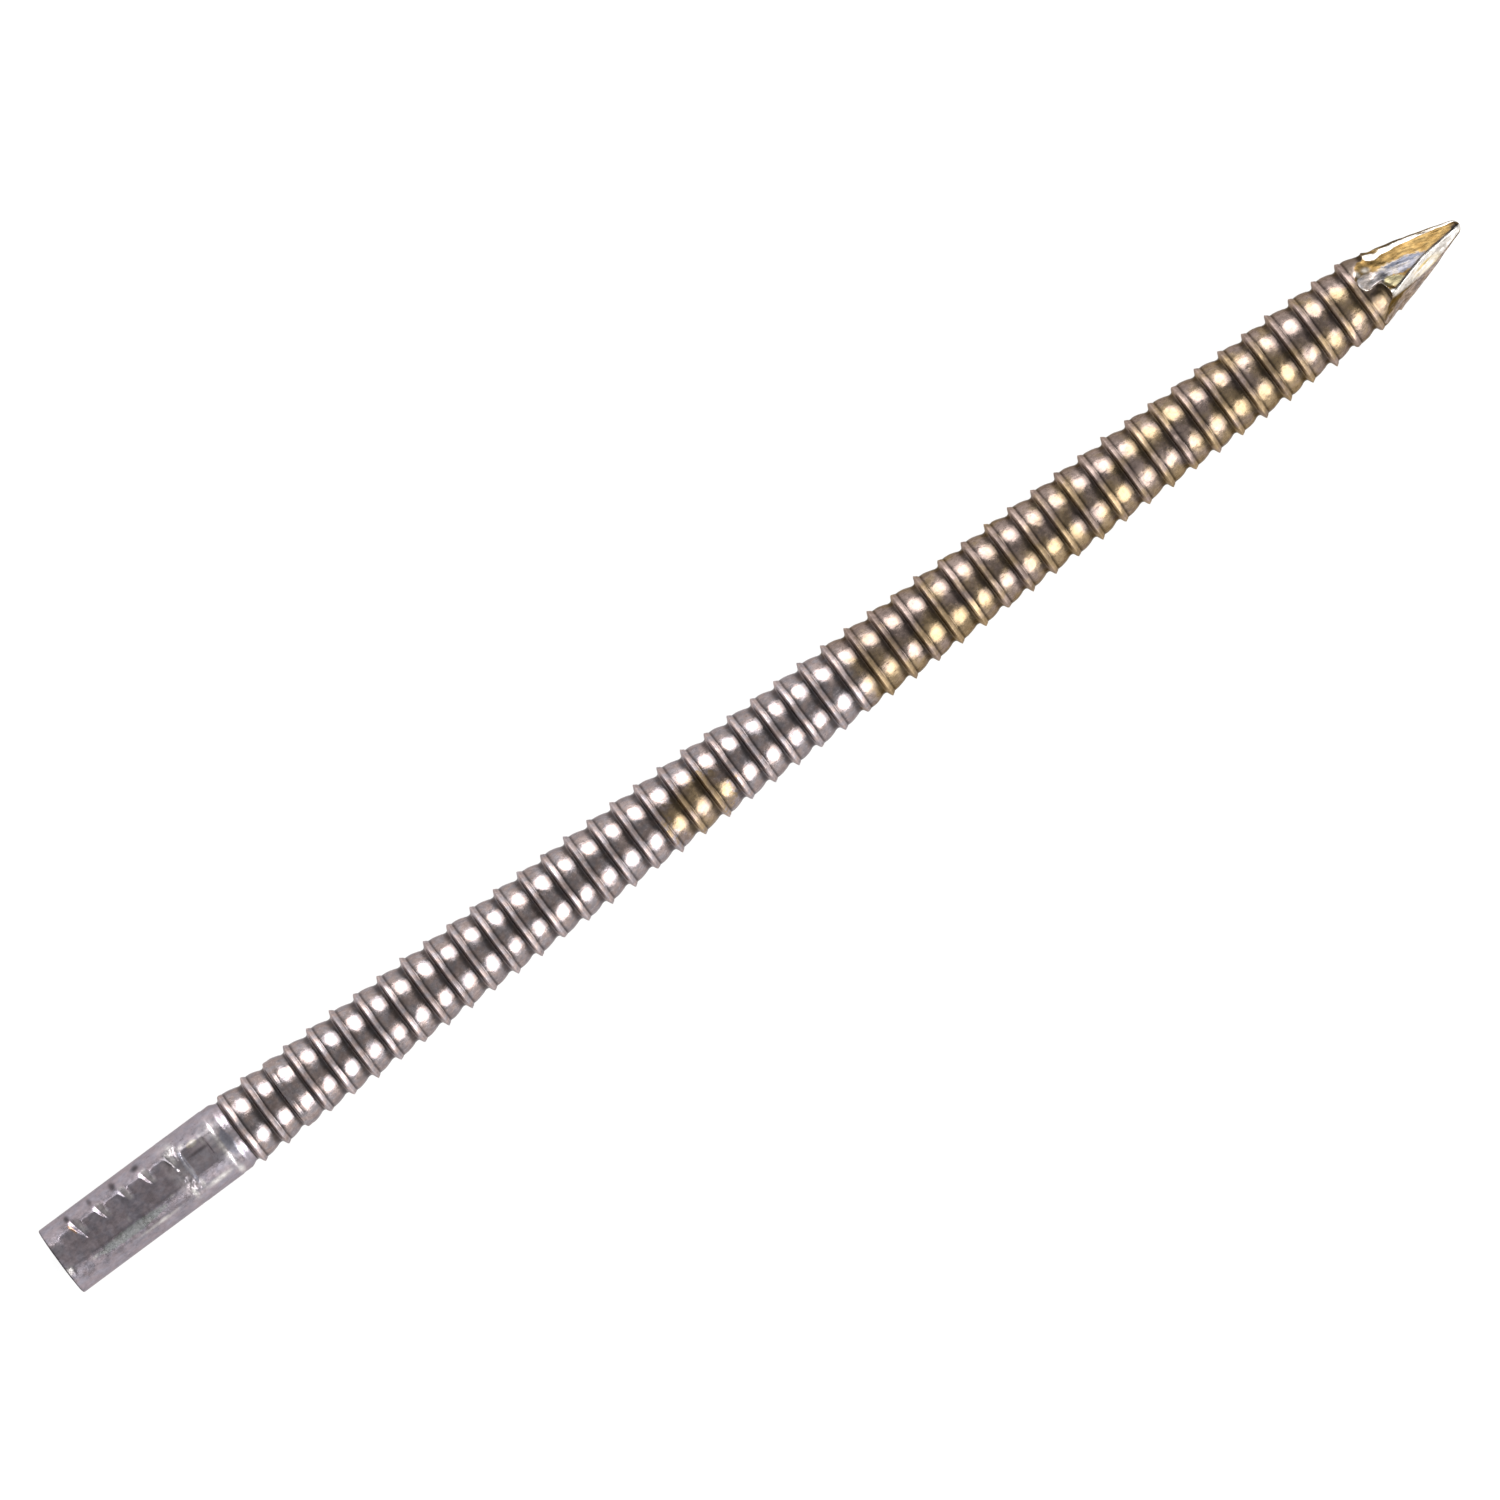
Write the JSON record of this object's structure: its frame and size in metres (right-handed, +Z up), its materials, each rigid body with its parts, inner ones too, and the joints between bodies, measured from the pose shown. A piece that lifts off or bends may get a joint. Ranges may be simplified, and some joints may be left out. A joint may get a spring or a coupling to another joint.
{
  "type": "ring-shank wire nail",
  "caption": "Straight headless wire nail with gripper marks on a short plain shank, annular rings and a four-sided diamond point.",
  "frame": {"origin": "centre of the square-cut struck end", "axes": "+X along the nail towards its point; +Z up, with the main gripper marks and the widest facet facing up"},
  "size_m": [0.063, 0.003, 0.003],
  "materials": {
    "bright_steel": "bright drawn wire with a thin film of drawing soap",
    "resin_coated_steel": "bright drawn wire under a thin golden resin coat"
  },
  "bodies": {
    "root": {"struck_end": "bright_steel", "gripped_shank": "bright_steel", "shank_neck": "bright_steel", "bright_rings": "bright_steel", "coated_rings": "resin_coated_steel", "diamond_point": "resin_coated_steel"}
  },
  "joints": []
}
